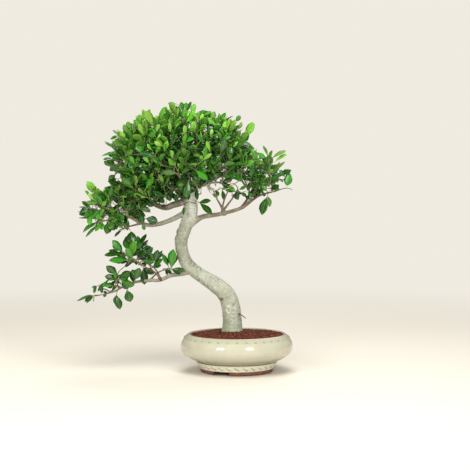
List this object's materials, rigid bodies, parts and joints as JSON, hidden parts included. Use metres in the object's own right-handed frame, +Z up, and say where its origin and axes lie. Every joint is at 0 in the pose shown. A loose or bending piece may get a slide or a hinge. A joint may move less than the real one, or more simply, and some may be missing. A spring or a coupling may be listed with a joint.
{
  "type": "ficus bonsai tree in a round glazed pot",
  "caption": "Small ficus tree with an S-curved trunk, a domed leafy crown and one low side branch, growing in a round glazed drum pot filled with granular soil.",
  "frame": {"origin": "the middle of the whole object's box, on the surface that the pot stands on", "axes": "+Z up, -Y towards the front of the tree, +X to the right with the low branch reaching towards -X"},
  "size_m": [0.5096, 0.2865, 0.6237],
  "materials": {
    "glaze": "glossy cream glaze, greener where it pools, bare red-brown clay on the foot",
    "soil": "matte red-brown granules",
    "bark": "pale grey-green smooth bark",
    "leaf": "glossy green leaf",
    "screen": "black plastic mesh",
    "clip": "satin wire"
  },
  "bodies": {
    "root": {"drain_screen_left": "screen", "drain_screen_right": "screen", "pot": "glaze", "screen_clip_left": "clip", "screen_clip_right": "clip", "shoot_crown_01": "leaf", "shoot_crown_02": "leaf", "shoot_crown_03": "leaf", "shoot_crown_04": "leaf", "shoot_crown_05": "leaf", "shoot_crown_06": "leaf", "shoot_crown_07": "leaf", "shoot_crown_08": "leaf", "shoot_crown_09": "leaf", "shoot_crown_10": "leaf", "shoot_crown_11": "leaf", "shoot_crown_12": "leaf", "shoot_crown_13": "leaf", "shoot_crown_14": "leaf", "shoot_crown_15": "leaf", "shoot_crown_16": "leaf", "shoot_crown_17": "leaf", "shoot_crown_18": "leaf", "shoot_crown_19": "leaf", "shoot_crown_20": "leaf", "shoot_crown_21": "leaf", "shoot_crown_22": "leaf", "shoot_left_pad_28": "leaf", "shoot_left_pad_29": "leaf", "shoot_left_pad_30": "leaf", "shoot_left_pad_31": "leaf", "shoot_left_pad_32": "leaf", "shoot_low_cluster_33": "leaf", "shoot_low_cluster_34": "leaf", "shoot_low_cluster_35": "leaf", "shoot_near_trunk_cluster_36": "leaf", "shoot_right_pad_23": "leaf", "shoot_right_pad_24": "leaf", "shoot_right_pad_25": "leaf", "shoot_right_pad_26": "leaf", "shoot_right_pad_27": "leaf", "shoot_tip_cluster_37": "leaf", "shoot_tip_cluster_38": "leaf", "soil": "soil", "trunk": "bark"}
  },
  "joints": []
}
